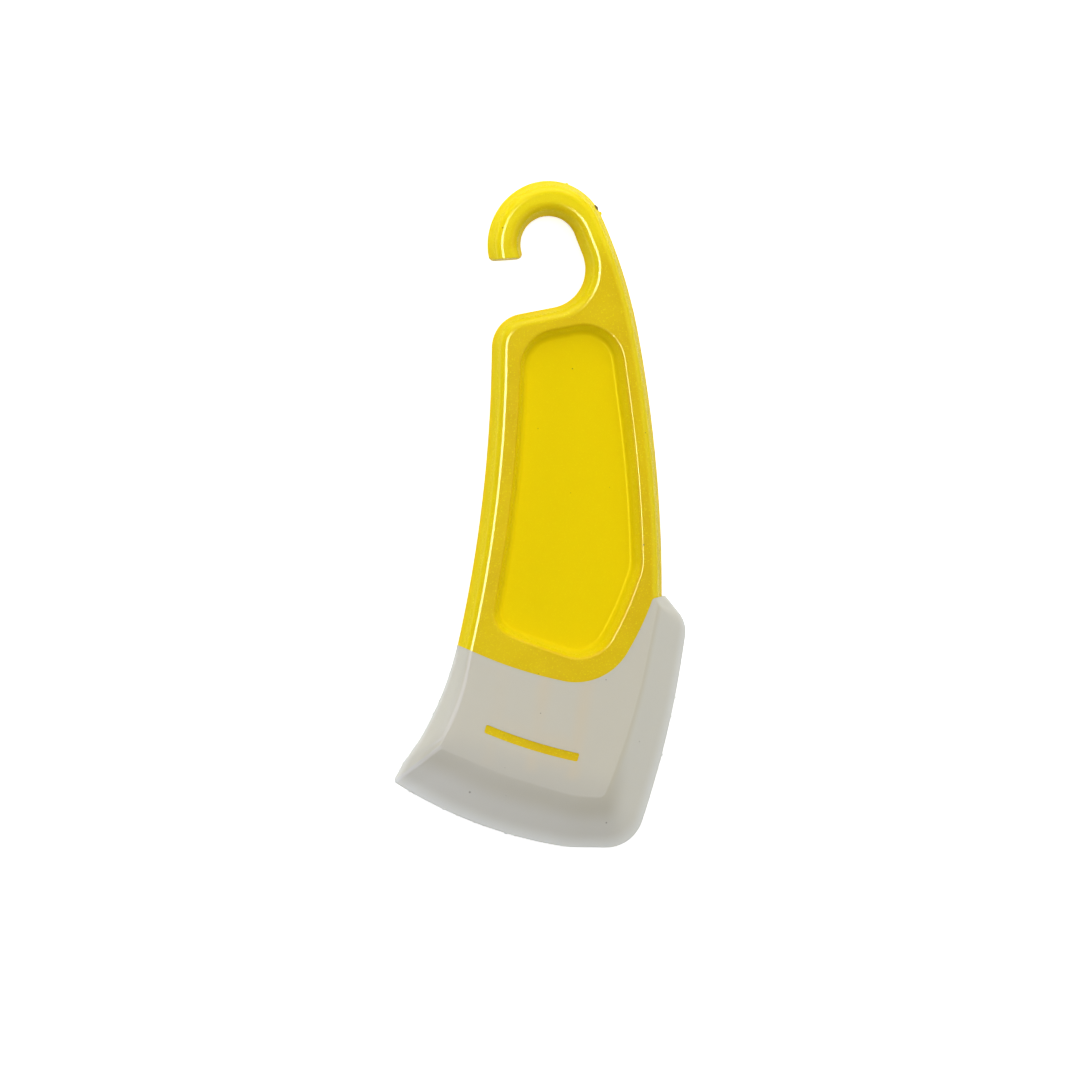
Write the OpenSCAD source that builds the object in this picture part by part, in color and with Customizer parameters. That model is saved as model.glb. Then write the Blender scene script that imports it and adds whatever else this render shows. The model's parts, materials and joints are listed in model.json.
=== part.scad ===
// Pan scraper: a hooked, rim-stiffened plastic handle whose ribbed tongue is locked inside
// a soft moulded blade. It lies flat: hook towards +Y, blade towards -Y, thickness along Z.
// Both faces are alike, so every shape is built about the middle plane and lifted at the end.

/* [Body] */
// Thickness over the rims and over the thick part of the blade
thickness = 7; // [6.4:0.1:7.6]
// Thickness of the thin floor between the rims, and of the hidden tongue
web = 1.6; // [1.2:0.1:2.4]
// Height of the upright parting land round the handle's edge
land = 0.8; // [0.4:0.1:1.4]
// Slope of the rim's flank away from upright, in degrees
flank_slope = 32; // [24:1:36]
// Rounding where the rim's flank meets its crest
crest_r = 2.4; // [1.4:0.1:2.6]

/* [Hook] */
// Inner radius of the hook, which hangs on a rail
hook_r = 6.7; // [5:0.1:7.4]
// Hook centre, to the right of the middle
hook_x = 2; // [0:0.5:4]
// Hook centre, towards the top
hook_y = 61.8; // [59:0.2:66]
// Width of the hook's bar beside its tip
hook_bar = 7.5; // [7.3:0.1:9]
// Outer radius on the tip's side
hook_out_r = 15; // [14.4:0.1:17]
// Outer radius on the back's side
crown_r = 13.3; // [12.5:0.1:14.2]
// How far the flat tip lies below the hook's centre
tip_drop = 2.9; // [1.5:0.1:5]
// Corner radius of the tip
tip_r = 1.2; // [0.6:0.1:2]

/* [Handle outline] */
// Straight inner side of the neck
neck_len = 5; // [3:0.1:7]
// Radius of the cup under the hook
cup_r = 9.1; // [7:0.1:11]
// Straight top of the shoulder
shoulder_len = 8.3; // [6:0.1:11]
// Radius of the shoulder's corner
shoulder_r = 7.9; // [6:0.1:10]
// Radius of the hollow left edge
left_r = 316; // [260:2:400]
// Radius of the upper back
back_r = 115; // [95:1:140]
// Radius of the lower back
flank_r = 320; // [260:2:400]

/* [Thumb pocket] */
// Rim width on the left, to where the pocket's brim starts to round
rim_left = 5.4; // [4.6:0.1:6.5]
// Rim width on the right
rim_right = 4.7; // [4:0.1:6]
// Rim width under the shoulder
rim_top = 4.5; // [4:0.1:7]
// Rim width along the blade
rim_end = 4.3; // [3.9:0.1:6]
// Rim width along the blade, towards its left end
rim_turn = 6.6; // [5.4:0.1:7.8]
// Slope of the pocket's wall from level, in degrees
wall_slope = 55; // [48:1:62]
// Rounding at the pocket's brim
brim_r = 0.7; // [0.4:0.1:1.1]
// Hollow rounding along the pocket's floor
cove_r = 1.4; // [0.8:0.1:1.8]

/* [Seam] */
// Where the seam meets the left edge, below the middle
seam_left = 30.3; // [28:0.1:33]
// Lowest corner of the seam, to the right of the middle
seam_low_x = 14.8; // [12:0.1:17]
// Lowest corner of the seam, below the middle
seam_low_y = 40.7; // [38:0.1:43]
// Radius of the seam's lowest corner
seam_r = 14; // [10:0.5:18]
// Where the seam meets the right edge, below the middle
seam_right = 19.6; // [17:0.1:22]

/* [Blade] */
// Thickness of the blade's scraping edge
edge_t = 1; // [0.7:0.1:1.6]
// How far the sharp scraping corner stands out to the left of the handle's edge at the seam
corner_out = 14.9; // [12:0.1:17]
// Sharp scraping corner, below the middle
corner_y = 61.4; // [59:0.1:64]
// Level stretch of the scraping edge, below the middle
heel_y = 76.8; // [74:0.1:80]
// Where the scraping edge bends into its level stretch, to the right of the middle
heel_x = 6.2; // [2:0.1:10]
// Radius of the scraping edge
sweep_r = 110; // [95:1:125]
// Radius of the lower right corner
heel_r = 9.8; // [7:0.1:12]
// How far the blade's right corner stands out from the handle's edge at the seam
wing_out = 6; // [5:0.1:8]
// Right corner of the blade, below the middle
wing_y = 25.3; // [24:0.1:28]
// Radius of the right corner
wing_r = 6.9; // [4:0.1:8]
// Radius of the blade's right side
side_r = 250; // [180:2:320]
// Width of the thinned lip along the scraping edge
lip_w = 12.2; // [10:0.1:14]
// Width of the thinned lip on the right side
side_lip_w = 9.8; // [8:0.1:11]
// Width of the rolled left flank where it leaves the handle
roll_w = 3.2; // [2.6:0.1:4]

/* [Hidden core] */
// Silicone left over the ribs
cover = 0.9; // [0.6:0.1:1.4]
// Width of a rib
rib_w = 1.8; // [1.2:0.1:2.6]
// Distance between ribs
rib_pitch = 9.9; // [8:0.1:10.5]
// Distance from the thick part's border to the tongue
tongue_inset = 4.5; // [3:0.1:6]
// Length of the crossbar that shows in the blade
bar_len = 22.8; // [19:0.1:25]
// Width of the crossbar
bar_w = 2; // [1.4:0.1:3]
// How far the crossbar lies below the blade's face
bar_sink = 0.15; // [0.1:0.05:0.4]

/* [Hidden] */

// Largest turn and longest chord of one facet on a round stretch
facet_turn = 5;
facet_len = 5;
// Below this radius a round stretch needs fewer facets
fine_r = 6;
// Facets round a tip corner and up a flank's crest
corner_n = 4;
crest_n = 4;
// Finest radius kept where a corner is moved inward
tiny = 0.2;
// Largest share of a straight side that its two round corners may take up
fullest = 0.98;
// Corners that turn less than this are moved inward along their bisector
shallow = 30;

// Headings and turns of the handle's outline, in degrees
tip_slope = 4.2;
// Share of the flank's inward run that the tip's flat end takes
tip_share = 0.35;
tip_turn = 75;
arch_turn = 180;
crown_join = 24.4;
back_heading = -65;
back_turn = 14.3;
flank_turn = 10.7;
neck_heading = -69.2;
cup_turn = 99.6;
shoulder_turn = 78.4;
left_turn = 12.3;
// Straight run of both edges on below the seam, later cut away
left_tail = 24;
right_tail = 36;

mid = thickness / 2;
hook = [hook_x, hook_y];
// The hook's inside is moulded a little small, and a true cylinder clears it
bite = 0.1;
// Centre of the hook's outside on the tip's side, which lies a little lower
out_drop = 0.2;
out_c = [hook_x - hook_r - hook_bar + hook_out_r, hook_y - out_drop];

function dir(a) = [cos(a), sin(a)];
function left(a) = [-sin(a), cos(a)];
function heading(a, b) = atan2(b.y - a.y, b.x - a.x);
function spot(v) = [v.x, v.y];
function flip(list) = [for (i = [len(list) - 1:-1:0]) list[i]];
function facets(r, turn) =
  max(2, ceil(abs(turn) * min(1, sqrt(r / fine_r)) / facet_turn), ceil(abs(turn) * r * PI / 180 / facet_len));

// Crossing of two lines, each given by a point and a heading
function meet(p, a, q, b) = p + dir(a) * (left(b) * (q - p)) / (left(b) * dir(a));

// Points of an arc, from one angle to another
function arc(c, r, from, to, n, first = 1, last = 0) =
  [for (k = [first:n - last]) c + r * dir(from + (to - from) * k / n)];

// Points of a path of [radius, turn] bends and [0, length] straights, moved u to the left of travel
function walk(p, h, moves, u, i = 0) =
  i == len(moves) ? [] :
  let (r = moves[i][0], a = moves[i][1])
  r == 0
    ? let (q = p + a * dir(h)) concat([q + u * left(h)], walk(q, h, moves, u, i + 1))
    : let (s = sign(a), c = p + r * s * left(h), n = facets(r, a))
      concat(
        [for (k = [1:n]) let (g = h + a * k / n) c + (u - r * s) * left(g)],
        walk(c - r * s * left(h + a), h + a, moves, u, i + 1)
      );

// Closed outlines are lists of [x, y, radius] corners, taken anticlockwise
function before(v, i) = v[(i + len(v) - 1) % len(v)];
function after(v, i) = v[(i + 1) % len(v)];
function bend(v, i) = (heading(v[i], after(v, i)) - heading(before(v, i), v[i]) + 540) % 360 - 180;
function reach(v, i) = v[i].z * tan(abs(bend(v, i)) / 2);
function share(v, i, j) =
  let (need = reach(v, i) + reach(v, j))
  need == 0 ? 1 : fullest * norm(spot(v[j]) - spot(v[i])) / need;
function counts(v) = [for (i = [0:len(v) - 1]) v[i].z == 0 ? 0 : facets(v[i].z, bend(v, i))];
function corner(v, i, n) =
  n == 0 ? [spot(v[i])] :
  let (
    count = len(v),
    t = bend(v, i),
    h = heading(before(v, i), v[i]),
    r = v[i].z * min(1, share(v, (i + count - 1) % count, i), share(v, i, (i + 1) % count)),
    c = spot(v[i]) - r * tan(abs(t) / 2) * dir(h) + sign(t) * r * left(h)
  )
  [for (k = [0:n]) c - sign(t) * r * left(h + t * k / n)];
function rounded(v, n) = [for (i = [0:len(v) - 1]) each corner(v, i, n[i])];

// A corner moved inward by w1 from the edge before it and w2 from the edge after it
function mitre(v, i, w1, w2) =
  let (
    h1 = heading(before(v, i), v[i]),
    h2 = heading(v[i], after(v, i)),
    p = spot(v[i])
  )
  abs(bend(v, i)) < shallow
    ? p + (w1 + w2) * (left(h1) + left(h2)) / (2 * (1 + left(h1) * left(h2)))
    : meet(p + w1 * left(h1), h1, p + w2 * left(h2), h2);
function inset(v, u) = [
  for (i = [0:len(v) - 1])
    let (p = mitre(v, i, u, u))
    [p.x, p.y, v[i].z == 0 ? 0 : max(v[i].z - sign(bend(v, i)) * u, tiny)]
];
// The corner of a shallow bow of radius r between two points, with room left at its ends
function bow(a, b, r, room) =
  let (c = norm(b - a) / 2, h = heading(a, b)) (a + b) / 2 - left(h) * c * tan(asin((c - room) / r));

// Triangles across a closed ring, paired from its start down both of its sides to its end
function zip(p, a, b, i = 0, j = 0, done = []) =
  i == len(a) - 1 && j == len(b) - 1 ? done :
  let (
    on_a = j == len(b) - 1
      || (i < len(a) - 1 && norm(p[a[i + 1]] - p[b[j]]) <= norm(p[a[i]] - p[b[j + 1]]))
  )
  on_a
    ? zip(p, a, b, i + 1, j, concat(done, [[a[i], a[i + 1], b[j]]]))
    : zip(p, a, b, i, j + 1, concat(done, [[a[i], b[j + 1], b[j]]]));
function cap(ring, start, end) =
  let (n = len(ring))
  zip(ring, [for (i = [start:end]) i], [for (i = [start + n - 1:-1:end + 1]) i % n]);

function lift(ring, z) = [for (p = ring) [p.x, p.y, z]];

// A closed skin over rings of equal length, lowest first
module skin(rings, cap) {
  n = len(rings[0]);
  top = (len(rings) - 1) * n;
  polyhedron(
    [for (ring = rings) each ring],
    concat(
      [
        for (r = [0:len(rings) - 2])
          for (i = [0:n - 1])
            let (j = (i + 1) % n)
            [r * n + i, (r + 1) * n + i, (r + 1) * n + j, r * n + j]
      ],
      cap,
      [for (t = cap) [t[2] + top, t[1] + top, t[0] + top]]
    )
  );
}

// Handle's outline, moved inward by u
tip_normal = 90 + tip_slope;
tip_line = dir(tip_normal) * hook - tip_drop;
crown_c = out_c + (hook_out_r - crown_r) * left(crown_join);
left_moves = [
  [0, neck_len],
  [cup_r, -cup_turn],
  [0, shoulder_len],
  [shoulder_r, shoulder_turn],
  [left_r, -left_turn],
  [0, left_tail]
];
back_moves = [[back_r, -back_turn], [flank_r, -flank_turn], [0, right_tail]];
function left_side(u) = walk(hook + hook_r * left(neck_heading), neck_heading, left_moves, u);
function right_side(u) = walk(crown_c + crown_r * left(back_heading), back_heading, back_moves, -u);
function handle_ring(u) =
  let (
    rho = max(tip_r - u, tiny),
    in_r = hook_r - bite + u,
    line = tip_line + tip_share * u + rho,
    crown_n = facets(crown_r, back_heading - crown_join),
    a_out = tip_normal + acos((line - dir(tip_normal) * out_c) / (hook_out_r - u - rho)),
    a_in = tip_normal + acos((line - dir(tip_normal) * hook) / (in_r + rho))
  )
  concat(
    arc(hook + (in_r + rho) * dir(a_in), rho, tip_normal + 180, a_in + 180, corner_n, 0),
    arc(hook, in_r, a_in, neck_heading + 90, facets(hook_r, arch_turn)),
    left_side(u),
    flip(right_side(u)),
    arc(crown_c, crown_r - u, back_heading + 90, crown_join + 90, crown_n, 0),
    arc(out_c, hook_out_r - u, crown_join + 90, a_out, facets(hook_out_r, tip_turn), 1, 1),
    arc(out_c + (hook_out_r - u - rho) * dir(a_out), rho, a_out, tip_normal + 180, corner_n, 0)
  );
// Number of points from the tip's inner corner down the left edge
left_count = corner_n + 1 + facets(hook_r, arch_turn) + len(left_side(0));

// Where the handle's edges stand at a height
function left_x(y) = lookup(y, [for (p = left_side(0)) if (p.y < hook_y - tip_drop - cup_r * 2) [p.y, p.x]]);
function right_x(y) = lookup(y, [for (p = right_side(0)) [p.y, p.x]]);

// Flank from the parting land to the crest, as [inward, height over the middle plane]
crest_w = (crest_r + (mid - crest_r - land / 2) * sin(flank_slope)) / cos(flank_slope);
flank = concat(
  [[0, land / 2]],
  [
    for (k = [0:crest_n])
      let (a = flank_slope + (90 - flank_slope) * k / crest_n)
      [crest_w - crest_r * cos(a), mid - crest_r + crest_r * sin(a)]
  ]
);

// Seam between handle and blade, as a border of everything that belongs to the handle
seam_left_r = 100;
seam_right_r = 76;
seam_end_r = 1.2;
// How far inside the right edge the seam turns outward
seam_turn = 2.7;
// How far the seam's block runs past the edges, and past the whole hook
seam_out = 12;
far = 120;
seam_start = [left_x(-seam_left), -seam_left];
seam_low = [seam_low_x, -seam_low_y];
seam_end = [right_x(-seam_right) - seam_turn, -seam_right];
seam_headings = [-26, -12.3, 59.9, 69.6, 10];
seam = [
  for (p = [
    [seam_start - seam_out * dir(seam_headings[0]), 0],
    [meet(seam_start, seam_headings[0], seam_low, seam_headings[1]), seam_left_r],
    [seam_low, seam_r],
    [meet(seam_low, seam_headings[2], seam_end, seam_headings[3]), seam_right_r],
    [seam_end, seam_end_r],
    [seam_end + seam_out * dir(seam_headings[4]), 0],
    [[far, far], 0],
    [[-far, far], 0]
  ])
    [p[0].x, p[0].y, p[1]]
];

// Thumb pocket: the handle's outline and the seam, each moved in by its rim
shoulder_heading = neck_heading - cup_turn;
top_at = left_side(rim_top)[facets(cup_r, cup_turn) + 1];
// Radii of its upper left, lower left and upper right corners, and of the bulge on the right
pocket_left_r = 9.6;
pocket_low_r = 13;
pocket_right_r = 9.8;
bulge_r = 12;
// How far its curved sides end below the top, above the seam's left end and above its right end
sides_top = top_at.y - 15;
sides_left = 6 - seam_left;
sides_right = 10.5 - seam_right;
pocket_left = [for (p = left_side(rim_left)) if (p.y < sides_top && p.y > sides_left) p];
pocket_right = flip([for (p = right_side(rim_right)) if (p.y < sides_top && p.y > sides_right) p]);
left_first = pocket_left[0];
left_last = pocket_left[len(pocket_left) - 1];
right_first = pocket_right[0];
right_last = pocket_right[len(pocket_right) - 1];
left_end = heading(pocket_left[len(pocket_left) - 2], left_last);
right_end = heading(pocket_right[len(pocket_right) - 2], right_last);
seam_in = [for (i = [1:3]) inset(seam, i == 1 ? rim_turn : rim_end)[i]];
pocket = [
  for (p = concat(
    [[meet(top_at, shoulder_heading, left_first, heading(pocket_left[1], left_first)), pocket_left_r]],
    [for (p = pocket_left) [p, 0]],
    [[meet(left_last, left_end, seam_in[0], seam_headings[0]), pocket_low_r]],
    [for (p = seam_in) [spot(p), p.z]],
    [[meet(seam_in[2], seam_headings[3], right_first, heading(right_first, pocket_right[1])), bulge_r]],
    [for (p = pocket_right) [p, 0]],
    [[meet(top_at, shoulder_heading, right_last, right_end), pocket_right_r]]
  ))
    [p[0].x, p[0].y, p[1]]
];
pocket_depth = (thickness - web) / 2;
brim_w = brim_r * tan(wall_slope / 2);
// How far the pocket's cutter flares out past the crest
flare = 1.4;
cove_end = brim_w + pocket_depth / tan(wall_slope) + cove_r * tan(wall_slope / 2);
// From the floor up to a flare above the crest, as [inward, depth]
wall = concat(
  [
    for (k = [0:3])
      let (a = wall_slope * k / 3)
      [cove_end - cove_r * sin(a), pocket_depth - cove_r * (1 - cos(a))]
  ],
  [for (k = [3:-1:1]) let (a = wall_slope * k / 3) [brim_r * sin(a), brim_r * (1 - cos(a))]],
  [-flare * [cos(wall_slope / 6), sin(wall_slope / 6)]]
);

// Blade's outline: outer corners, and the inner corners where its thick part begins
corner_p = [left_x(-seam_left) - corner_out, -corner_y];
heel_p = [heel_x, -heel_y];
heel_run = [15.6, -0.4];
heel_end = heel_p + heel_run;
wing_p = [right_x(-seam_right) + wing_out, -wing_y];
// Where the blade's edges start beside the handle's, which they overlap by a hair
throat_step = [0.3, 1];
root_step = [0.6, 0.9];
throat = [left_x(-seam_left), -seam_left] - throat_step;
root = [right_x(-seam_right), -seam_right] + root_step;
// Two corners beyond the seam, cut away with the seam's block
left_top = [left_x(-seam_left / 2) - throat_step.x, -seam_left / 2];
right_top = [right_x(-seam_right / 2), -seam_right / 2];
// Bends of the left edge, as distance and heading from the throat or from the sharp corner
roll_bend = [9.5, -104.2];
nose_bend = [11.1, 57];
nose_end = [5.2, 61.6];
// Inner corner behind the sharp one, and the bends beside it as distance and heading from it
toe_back = [1.9, 4.1];
toe_bend = [6.1, 60.5];
toe_end = [2.8, 59.7];
toe = corner_p + [lip_w, lip_w] - toe_back;
function off(p, v) = p + v[0] * dir(v[1]);
// How much the thinned border widens or narrows along its run
roll_more = 0.7;
lip_more = 2.2;
heel_more = 1.4;
wing_less = 1.6;
less = 0.3;
// How strongly the border is crowned, lip and left flank
crown_lip = 1.1;
crown_roll = 1.9;
crown_nose = 1.3;
// Each row: outer corner, its radius, widths of the thinned border before and after it, or the
// inner corner itself, radius of the inner corner, and how strongly the border is crowned
blade_rows = [
  [left_top, 0, roll_w, roll_w, 0, crown_roll],
  [throat, 0, roll_w, roll_w, 0, crown_roll],
  [off(throat, roll_bend), 78, roll_w + roll_more, roll_w + roll_more, 60, crown_roll],
  [off(corner_p, nose_bend), 45, off(toe, toe_bend), undef, 40, (crown_roll + crown_nose) / 2],
  [off(corner_p, nose_end), 20, off(toe, toe_end), undef, 30, crown_nose],
  [corner_p, 0.8, toe, undef, 0.8, crown_lip],
  [bow(corner_p, heel_p, sweep_r, 1.2), sweep_r, lip_w + lip_more, lip_w + lip_more, sweep_r, crown_lip],
  [heel_p, 24, lip_w, lip_w, 24, crown_lip],
  [heel_end, heel_r, lip_w - less, side_lip_w + heel_more, 3.2, crown_lip],
  [bow(heel_end, wing_p, side_r, 5), side_r, side_lip_w, side_lip_w, side_r, crown_lip],
  [wing_p, wing_r, side_lip_w - wing_less, roll_w, 0.5, crown_lip],
  [root, 0, roll_w - less, roll_w - less, 0, crown_lip],
  [right_top, 0, roll_w, roll_w, 0, crown_lip]
];
blade_edge = [for (b = blade_rows) [b[0].x, b[0].y, b[1]]];
blade_n = counts(blade_edge);
blade_top = [
  for (i = [0:len(blade_rows) - 1])
    let (
      b = blade_rows[i],
      p = is_undef(b[3]) ? b[2] : mitre(blade_edge, i, b[2], b[3])
    )
    [p.x, p.y, b[4]]
];
crowns = [for (b = blade_rows) b[5]];
// The crown passes evenly from each row to the next, t of the way round a row's bend
function crown_at(i, t) =
  let (n = len(crowns), c = crowns[i])
  lookup(t, [[0, (crowns[(i + n - 1) % n] + c) / 2], [0.5, c], [1, (c + crowns[(i + 1) % n]) / 2]]);
blade_crown = [
  for (i = [0:len(blade_rows) - 1])
    for (k = [0:blade_n[i]])
      crown_at(i, blade_n[i] == 0 ? 0.5 : k / blade_n[i])
];
edge_ring = rounded(blade_edge, blade_n);
top_ring = rounded(blade_top, blade_n);
// Stages from the blade's edge, 0, to the border of its thick part, 1
stages = [0, 0.03, 0.3, 0.62, 1];
// Share of the edge's thickness that is left upright
edge_flat = 0.6;
function blade_height(s, crown) =
  s == 0
    ? edge_flat * edge_t / 2
    : edge_t / 2 + (mid - edge_t / 2) * (1 - pow(1 - s, crown));
// Number of points from the throat to the lowest corner
low_row = 7;
blade_low = len([for (i = [0:low_row]) for (k = [0:blade_n[i]]) i]);
function blade_ring(s, side) = [
  for (i = [0:len(edge_ring) - 1])
    let (p = edge_ring[i] + s * (top_ring[i] - edge_ring[i]))
    [p.x, p.y, side * blade_height(s, blade_crown[i])]
];

// Hidden core: tongue, ribs and crossbar
rib_heading = -100;
rib_root = [0.5, 1.6 - seam_low_y];
// How deep tongue and ribs run into the handle's own body
overlap = 2;
bar_c = [-2.5, -52.7];
bar_heading = -17.5;
bar_r = 130;
bar_end_r = 0.5;
// How far the ribs run past the crossbar
rib_past = 6.3;
// Windows: ledge of tongue left beside each rib, distance from the seam and from the crossbar
ledge = 0.5;
window_top = 1.8;
window_low = 1;
window_r = 1;
window_n = 3;
// The tongue follows the main corners of the blade's thick part
tongue_r = 4;
tongue_corners = [0, 1, 5, 6, 8, 10, 12];
tongue = [
  for (v = inset([for (i = tongue_corners) blade_top[i]], tongue_inset))
    [v.x, v.y, tongue_r]
];
function rib_line(k) = rib_root + (k - 1) * rib_pitch * left(rib_heading);
function rib_stop(k) = meet(rib_line(k), rib_heading, bar_c, bar_heading);
bar_end = bar_len / 2 * dir(bar_heading);
function bar_side(s) = s * bar_w / 2 * left(bar_heading);
bar = [
  for (p = [
    [bar_c - bar_end - bar_side(1), bar_end_r],
    [bow(bar_c - bar_end, bar_c + bar_end, bar_r, 0) - bar_side(1), bar_r],
    [bar_c + bar_end - bar_side(1), bar_end_r],
    [bar_c + bar_end + bar_side(1), bar_end_r],
    [bow(bar_c - bar_end, bar_c + bar_end, bar_r, 0) + bar_side(1), bar_r],
    [bar_c - bar_end + bar_side(1), bar_end_r]
  ])
    [p[0].x, p[0].y, p[1]]
];

// The origin lies under the middle of the whole outline
outline = concat(edge_ring, [for (p = handle_ring(0)) if (p.y > 0) p]);
middle = [
  (max([for (p = outline) p.x]) + min([for (p = outline) p.x])) / 2,
  (max([for (p = outline) p.y]) + min([for (p = outline) p.y])) / 2,
  -mid
];

module slab(points, half) {
  translate([0, 0, -half]) linear_extrude(2 * half) polygon(points);
}

module seam_block(shift = 0) {
  translate([0, shift, 0]) slab(rounded(seam, counts(seam)), thickness);
}

module handle_form() {
  skin(
    concat(
      [for (f = flip(flank)) lift(handle_ring(f[0]), -f[1])],
      [for (f = flank) lift(handle_ring(f[0]), f[1])]
    ),
    cap(handle_ring(crest_w), 0, left_count - 1)
  );
}

module pocket_cut() {
  n = counts(pocket);
  rings = [for (w = wall) lift(rounded(inset(pocket, w[0]), n), mid - w[1])];
  skin(rings, cap(rounded(inset(pocket, cove_end), n), 0, floor(len(rings[0]) / 2)));
}

module rib(k) {
  stop = rib_stop(k) + rib_past * dir(rib_heading);
  start = rib_line(k) - rib_pitch * dir(rib_heading);
  half = rib_w / 2 * left(rib_heading);
  slab([start - half, stop - half, stop + half, start + half], mid - cover);
}

// An opening between two ribs, through which the silicone is one piece
module window(k) {
  gap = rib_pitch - rib_w - 2 * ledge;
  top = (rib_line(k) + rib_line(k + 1)) / 2 + window_top * dir(rib_heading);
  low = (rib_stop(k) + rib_stop(k + 1)) / 2 - (bar_w + window_low) * dir(rib_heading);
  half = gap / 2 * left(rib_heading);
  frame = [for (p = [top - half, low - half, low + half, top + half]) [p.x, p.y, window_r]];
  slab(rounded(frame, [for (p = frame) window_n]), thickness);
}

module core(bar_half) {
  difference() {
    union() {
      difference() {
        slab(rounded(tongue, counts(tongue)), web / 2);
        for (k = [0:1]) window(k);
      }
      for (k = [0:2]) rib(k);
    }
    seam_block(overlap);
  }
  slab(rounded(bar, counts(bar)), bar_half);
}

module handle() {
  color([0.88, 0.77, 0.03])
    translate(-middle) {
      difference() {
        intersection() {
          handle_form();
          seam_block();
        }
        pocket_cut();
        mirror([0, 0, 1]) pocket_cut();
        translate([hook_x, hook_y, -thickness]) cylinder(r = hook_r, h = 2 * thickness, $fn = 96);
      }
      core(mid - bar_sink);
    }
}

module blade() {
  color([0.86, 0.86, 0.82])
    translate(-middle)
      difference() {
        skin(
          concat(
            [for (s = flip(stages)) blade_ring(s, -1)],
            [for (s = stages) blade_ring(s, 1)]
          ),
          cap(top_ring, 0, blade_low)
        );
        seam_block();
        core(thickness);
      }
}

handle();
blade();
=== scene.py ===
import cmath
import json
import math
import random

import bmesh
import bpy
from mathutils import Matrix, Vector, kdtree


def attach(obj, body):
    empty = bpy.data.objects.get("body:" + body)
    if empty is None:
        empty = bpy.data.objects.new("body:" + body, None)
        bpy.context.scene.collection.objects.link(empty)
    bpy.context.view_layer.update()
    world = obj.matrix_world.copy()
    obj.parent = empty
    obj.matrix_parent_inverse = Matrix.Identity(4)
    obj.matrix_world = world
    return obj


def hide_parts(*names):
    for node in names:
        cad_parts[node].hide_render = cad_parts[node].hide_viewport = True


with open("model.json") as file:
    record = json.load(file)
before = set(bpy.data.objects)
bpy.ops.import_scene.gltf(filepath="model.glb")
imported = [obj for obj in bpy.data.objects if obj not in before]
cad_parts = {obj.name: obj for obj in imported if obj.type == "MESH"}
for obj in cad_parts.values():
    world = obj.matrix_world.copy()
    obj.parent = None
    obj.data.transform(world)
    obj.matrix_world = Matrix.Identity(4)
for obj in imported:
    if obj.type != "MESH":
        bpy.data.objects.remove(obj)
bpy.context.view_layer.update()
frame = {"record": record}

# Outlines are complex numbers in millimetres, x + y*1j, as in the part's source.
# The hook's mount ties them to the frame, in metres.
body = {
    "thickness": 7.0,
    "web": 1.6,
    "land": 0.8,
    "flankSlope": 32.0,
    "crestRadius": 2.4,
    "facetTurn": 2.2,
    "facetLength": 1.6,
}
hook = {
    "radius": 6.7,
    "centre": 2.0 + 61.8j,
    "bar": 7.5,
    "outRadius": 15.0,
    "outDrop": 0.2,
    "crownRadius": 13.3,
    "crownJoin": 24.4,
    "tipDrop": 2.9,
    "tipRadius": 1.2,
    "tipSlope": 4.2,
    "tipShare": 0.12,
    "landDepth": 0.1,
}
outline = {
    "neckHeading": -69.2,
    "leftMoves": [(0, 5.0), (9.1, -99.6), (0, 8.3), (7.9, 78.4), (316, -12.3), (0, 24)],
    "backHeading": -65.0,
    "backMoves": [(115, -14.3), (320, -10.7), (0, 36)],
}
mid = body["thickness"] / 2
mount = next(m for m in frame["record"]["mounts"] if m["name"] == "hook")
shift = 1000 * complex(mount["pos_m"][0], mount["pos_m"][1]) - hook["centre"]


def ray(degrees):
    return cmath.rect(1, math.radians(degrees))


def dot(a, b):
    return (a.conjugate() * b).real


def heading(a, b):
    return math.degrees(cmath.phase(b - a))


def meet(p, a, q, b):
    side = 1j * ray(b)
    return p + ray(a) * dot(side, q - p) / dot(side, ray(a))


def facets(radius, turn):
    arc = abs(turn) * radius * math.pi / 180
    return max(3, math.ceil(abs(turn) / body["facetTurn"]), math.ceil(arc / body["facetLength"]))


def arcPoints(centre, radius, start, end, count, first=1, last=0):
    steps = range(first, count - last + 1)
    return [centre + radius * ray(start + (end - start) * k / count) for k in steps]


def walk(point, course, moves, inward):
    points = []
    for radius, amount in moves:
        if radius == 0:
            point += amount * ray(course)
            points.append(point + inward * 1j * ray(course))
            continue
        sign = math.copysign(1, amount)
        centre = point + radius * sign * 1j * ray(course)
        count = facets(radius, amount)
        for k in range(1, count + 1):
            turned = 1j * ray(course + amount * k / count)
            points.append(centre + (inward - radius * sign) * turned)
        course += amount
        point = centre - radius * sign * 1j * ray(course)
    return points


def leftSide(inward):
    start = hook["centre"] + hook["radius"] * 1j * ray(outline["neckHeading"])
    return walk(start, outline["neckHeading"], outline["leftMoves"], inward)


def crownCentre():
    return outCentre() + (hook["outRadius"] - hook["crownRadius"]) * 1j * ray(hook["crownJoin"])


def outCentre():
    x = hook["centre"].real - hook["radius"] - hook["bar"] + hook["outRadius"]
    return complex(x, hook["centre"].imag - hook["outDrop"])


def rightSide(inward):
    start = crownCentre() + hook["crownRadius"] * 1j * ray(outline["backHeading"])
    return walk(start, outline["backHeading"], outline["backMoves"], -inward)


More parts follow.
